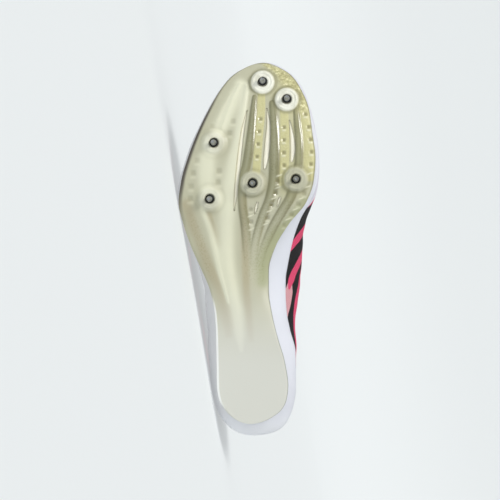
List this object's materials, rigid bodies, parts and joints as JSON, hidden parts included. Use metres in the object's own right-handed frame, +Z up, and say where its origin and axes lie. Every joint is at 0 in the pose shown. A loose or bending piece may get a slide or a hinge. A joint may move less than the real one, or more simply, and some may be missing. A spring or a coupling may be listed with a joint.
{
  "type": "track spike shoe",
  "caption": "Right sprint shoe with a ribbed, slotted clear plate and steel pins under a white foam midsole, with a low laced striped upper, lying on its outer side.",
  "frame": {"origin": "on the floor, under the centre of the shoe's box, with the shoe lying on its outer side", "axes": "-X towards the toe, -Y out of the sole, +Z up, which is the shoe's inner side"},
  "size_m": [0.2812, 0.1224, 0.1125],
  "materials": {
    "plate": "translucent, satin, moulded",
    "foam": "smooth moulded foam",
    "upper_fabric": "fine coated mesh",
    "tongue_fabric": "padded knit",
    "insole_fabric": "brushed fabric on foam",
    "lace_fabric": "flat woven",
    "pin_steel": "turned"
  },
  "bodies": {
    "root": {"outsole_plate": "plate", "midsole": "foam", "upper": "upper_fabric", "tongue": "tongue_fabric", "insole": "insole_fabric", "lace": "lace_fabric", "spike_1": "pin_steel", "spike_2": "pin_steel", "spike_3": "pin_steel", "spike_4": "pin_steel", "spike_5": "pin_steel", "spike_6": "pin_steel"}
  },
  "joints": []
}
